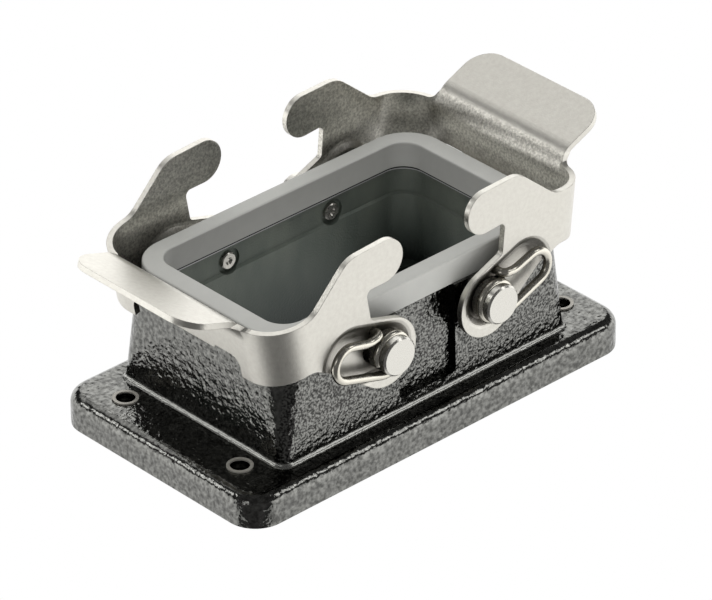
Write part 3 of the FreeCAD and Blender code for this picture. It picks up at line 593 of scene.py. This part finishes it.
def rubber(name, low, high, roughness):
    """Matt rubber between two levels of grey, with painted shade on its inner walls."""
    finish = Finish(name)
    dark = (low, low, RUBBER_YELLOWING * low, 1)
    pale = (high, high, RUBBER_YELLOWING * high, 1)
    outer = finish.blend(finish.noise(RUBBER_CLOUD_PER_METRE, detail=3.0), dark, pale)
    # Painted shade: faces turned toward the middle get a share of black.
    inner_painted_shade = finish.times(finish.inner_faces(INNER_WALL_BLEND), INNER_WALL_PAINTED_SHADE)
    skin = finish.noise(RUBBER_SKIN_PER_METRE, detail=2.0)
    finish.set(Base_Color=finish.blend(inner_painted_shade, outer, grey(0.0)))
    smoothest = roughness - ROUGHNESS_SPREAD
    roughest = roughness + ROUGHNESS_SPREAD
    finish.set(Roughness=finish.ramp(skin, *MOST_OF_NOISE, smoothest, roughest))
    finish.set(Normal=finish.bump(skin, RUBBER_SKIN_DEPTH, RUBBER_SKIN_STRENGTH))
    return finish


dress("top_seal", rubber("seal_rubber", low=0.29, high=0.33, roughness=0.55))
dress("flange_gasket", rubber("gasket_rubber", low=0.02, high=0.03, roughness=0.6))

# %% [markdown]
# ## Sheet steel
# The levers are stainless sheet, tumbled after stamping, so they are satin with a fine mottle and no
# rolling lines. The insides of the arms are duller and more grained. Two nodes measure the shape: Ambient
# Occlusion finds the hollows, where a dark brown-grey is painted in as shade, and Bevel rounds the
# shading of the stamped edges without changing them.

# %% Sheet steel
STEEL_PALE = (0.815, 0.795, 0.725, 1)
STEEL_DULL = (0.75, 0.725, 0.66, 1)
STEEL_CLOUD_PER_METRE = 1100.0
SATIN_PER_METRE = 3200.0
SATIN_DEPTH = 0.02 * MM
SATIN_ROUGHNESS = (0.28, 0.42)
GRAIN_PALE = (0.90, 0.88, 0.80, 1)
GRAIN_DULL = (0.48, 0.46, 0.41, 1)
INNER_GRAIN_PER_METRE = 2000.0
INNER_GRAIN_SPAN = (0.35, 0.65)
INNER_ARM_BLEND = 4.0 * MM
HOLLOW_PAINTED_SHADE = (0.20, 0.185, 0.16, 1)
PAINTED_SHADE_REACH = 3.2 * MM
PAINTED_SHADE_SAMPLES = 8
OPEN_SHARE = (0.36, 0.84)
EDGE_ROUND = 0.2 * MM
EDGE_SAMPLES = 4


def sheet_steel():
    """Tumbled sheet: mottled and satin, with rounded edges and painted shade in the hollows."""
    finish = Finish("satin_sheet")
    cloud = finish.ramp(finish.noise(STEEL_CLOUD_PER_METRE, detail=4.0), *MOST_OF_NOISE)
    steel = finish.blend(cloud, STEEL_DULL, STEEL_PALE)
    grain = finish.noise(INNER_GRAIN_PER_METRE, detail=4.0, roughness=0.6)
    grained = finish.blend(finish.ramp(grain, *INNER_GRAIN_SPAN), GRAIN_PALE, GRAIN_DULL)
    colour = finish.blend(finish.inner_faces(INNER_ARM_BLEND), steel, grained)
    hollow = finish.node("AmbientOcclusion", Distance=PAINTED_SHADE_REACH)
    hollow.samples = PAINTED_SHADE_SAMPLES
    edge = finish.node("Bevel", Radius=EDGE_ROUND)
    edge.samples = EDGE_SAMPLES
    satin = finish.noise(SATIN_PER_METRE, detail=3.0)
    # Painted shade: the hollows that Ambient Occlusion finds turn dark brown-grey.
    finish.set(Base_Color=finish.blend(finish.ramp(hollow.outputs["AO"], *OPEN_SHARE), HOLLOW_PAINTED_SHADE, colour))
    finish.set(Metallic=1.0)
    finish.set(Roughness=finish.ramp(satin, *MOST_OF_NOISE, *SATIN_ROUGHNESS))
    finish.set(Normal=finish.bump(satin, SATIN_DEPTH, Normal=edge.outputs[0]))
    return finish


sheet = sheet_steel()
for side in ("left", "right"):
    dress("lever_" + side, sheet)

# %% [markdown]
# ## Turned pins and drawn wire
# The pins are turned and smoother than the sheet, and their riveted ends inside the opening are darker.
# The springs are drawn wire, the smoothest steel here and a little browner. Neither needs a bump: a light
# cloud in the roughness keeps the highlights from looking like plastic.

# %% Pins and springs
PIN_HEAD_STEEL = (0.80, 0.78, 0.72, 1)
RIVETED_STEEL = (0.62, 0.60, 0.55, 1)
RIVETED_END = 19.5 * MM
TURNED_PER_METRE = 1500.0
TURNED_ROUGHNESS = (0.24, 0.34)
WIRE_STEEL = (0.80, 0.765, 0.67, 1)
WIRE_PER_METRE = 700.0
WIRE_ROUGHNESS = (0.20, 0.30)


def turned_steel():
    """Turned pin, darker on its riveted end inside the opening."""
    finish = Finish("turned_steel")
    from_middle = finish.distances()[1]
    riveted = finish.below(from_middle, RIVETED_END)
    finish.set(Base_Color=finish.blend(riveted, PIN_HEAD_STEEL, RIVETED_STEEL))
    finish.set(Metallic=1.0)
    cloud = finish.noise(TURNED_PER_METRE, detail=2.0)
    finish.set(Roughness=finish.ramp(cloud, *MOST_OF_NOISE, *TURNED_ROUGHNESS))
    return finish


def drawn_wire():
    """Smooth spring wire."""
    finish = Finish("drawn_wire")
    finish.set(Base_Color=WIRE_STEEL)
    finish.set(Metallic=1.0)
    cloud = finish.noise(WIRE_PER_METRE, detail=2.0)
    finish.set(Roughness=finish.ramp(cloud, *MOST_OF_NOISE, *WIRE_ROUGHNESS))
    return finish


turned = turned_steel()
wire = drawn_wire()
for side in ("left", "right"):
    for end in ("front", "back"):
        dress("pin_" + side + "_" + end, turned)
        dress("spring_" + side + "_" + end, wire)

# %% [markdown]
# ## Smooth shading
# The CAD meshes are flat facets. Smoothing every edge would also blur the real corners. Smoothing only
# where two facets meet at a small angle hides the facets on round faces and keeps the real edges sharp.

# %% Smooth the round faces
SMOOTH_ANGLE = math.radians(32)
for solid in nodes.values():
    bpy.ops.object.select_all(action="DESELECT")
    solid.select_set(True)
    bpy.context.view_layer.objects.active = solid
    bpy.ops.object.shade_smooth_by_angle(angle=SMOOTH_ANGLE)
print("smoothed", len(nodes), "pieces")
